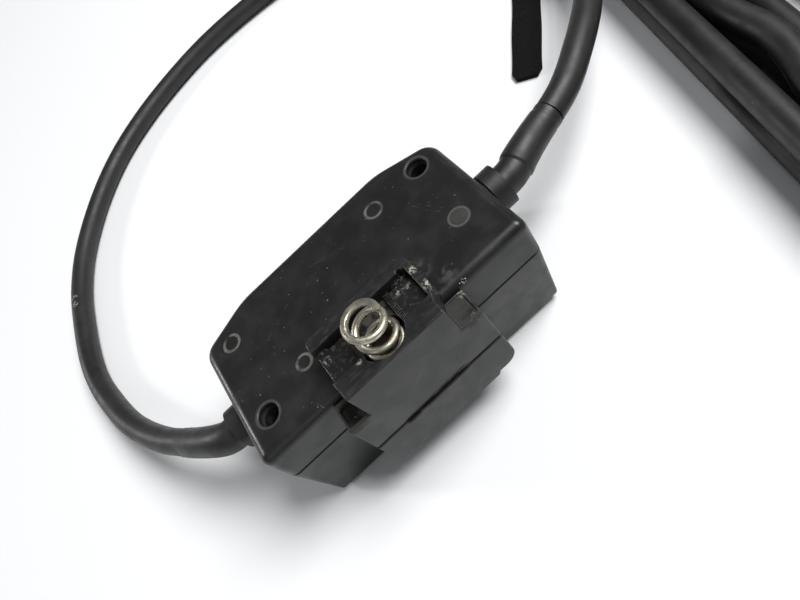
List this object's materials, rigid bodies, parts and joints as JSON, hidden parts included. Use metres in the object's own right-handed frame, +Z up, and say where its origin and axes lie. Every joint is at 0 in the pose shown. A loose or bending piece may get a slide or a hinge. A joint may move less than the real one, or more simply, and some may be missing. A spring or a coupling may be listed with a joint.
{
  "type": "cable shutter release",
  "caption": "Cable shutter release: a black two-part switch box with a spring-contact shoe foot, a push button underneath and corded plugs tied in a hank.",
  "frame": {"origin": "centre of the bounding box of the box with its glands and foot, on the surface it rests on", "axes": "+X along the box towards the camera-plug cord's exit, -Y towards the shoe foot, +Z up out of the face with the screw holes; the release button is underneath"},
  "size_m": [0.2225, 0.2215, 0.036],
  "materials": {
    "shell_black": "fine-textured black moulding, worn satin on its edges",
    "foot_black": "black moulding, slightly smoother and rubbed",
    "cord_black": "satin black cord jacket",
    "aged_nickel": "aged nickel plate, dull",
    "screw_steel": "dark steel",
    "contact_brass": "plain brass",
    "leaf_bronze": "phosphor bronze strip",
    "board_tan": "phenolic board",
    "nylon_natural": "natural nylon",
    "wire_red": "red wire insulation",
    "wire_white": "white wire insulation",
    "strap_black": "black hook-and-loop tape"
  },
  "bodies": {
    "housing": {"upper_shell": "shell_black", "lower_shell": "shell_black", "foot_upper": "foot_black", "foot_lower": "foot_black", "contact_cup": "contact_brass", "contact_pin": "contact_brass", "channel_plate_right": "screw_steel", "channel_plate_left": "screw_steel", "case_screw_right": "screw_steel", "case_screw_left": "screw_steel", "cord_gland_right": "cord_black", "cord_gland_left": "cord_black", "switch_frame": "nylon_natural", "leaf_half_press": "leaf_bronze", "leaf_full_press": "leaf_bronze", "leaf_spacer_lower": "nylon_natural", "leaf_spacer_upper": "nylon_natural", "terminal_board": "board_tan", "button_spring": "aged_nickel", "wire_right_red": "wire_red", "wire_right_white": "wire_white", "wire_left_red": "wire_red", "wire_left_white": "wire_white", "wire_contact": "wire_red", "cord_boot_right": "cord_black", "cord_boot_left": "cord_black", "coil_left": "cord_black", "coil_right": "cord_black", "cord_right": "cord_black", "cord_left": "cord_black", "cord_right_tail": "cord_black", "cord_left_tail": "cord_black", "camera_plug_boot": "cord_black", "camera_plug_body": "foot_black", "camera_plug_insert": "nylon_natural", "camera_plug_pin_1": "contact_brass", "camera_plug_pin_2": "contact_brass", "camera_plug_pin_3": "contact_brass", "jack_boot": "cord_black", "jack_grip": "foot_black", "jack_sleeve": "aged_nickel", "jack_collar": "foot_black", "jack_tip": "aged_nickel", "tie_strap": "strap_black", "tie_strap_tail": "strap_black"},
    "contact": {"contact_spring": "aged_nickel"},
    "button": {"release_button": "foot_black"},
    "locking_ring": {"camera_plug_ring": "screw_steel"}
  },
  "joints": [
    {"name": "contact_press", "type": "slide", "parent": "housing", "child": "contact", "axis": [0, 0, -1], "range_m": [0, 0.004], "stiffness_N_per_m": 300, "deforming": ["contact_spring"]},
    {"name": "button_press", "type": "slide", "parent": "housing", "child": "button", "axis": [0, 0, 1], "range_m": [0, 0.0015], "stiffness_N_per_m": 600, "springref_m": -0.001, "deforming": ["button_spring"]},
    {"name": "ring_turn", "type": "hinge", "parent": "housing", "child": "locking_ring", "pos_m": [0.09962, -0.00684, 0.0056], "axis": [0.2756, 0.9613, 0], "continuous": true}
  ]
}
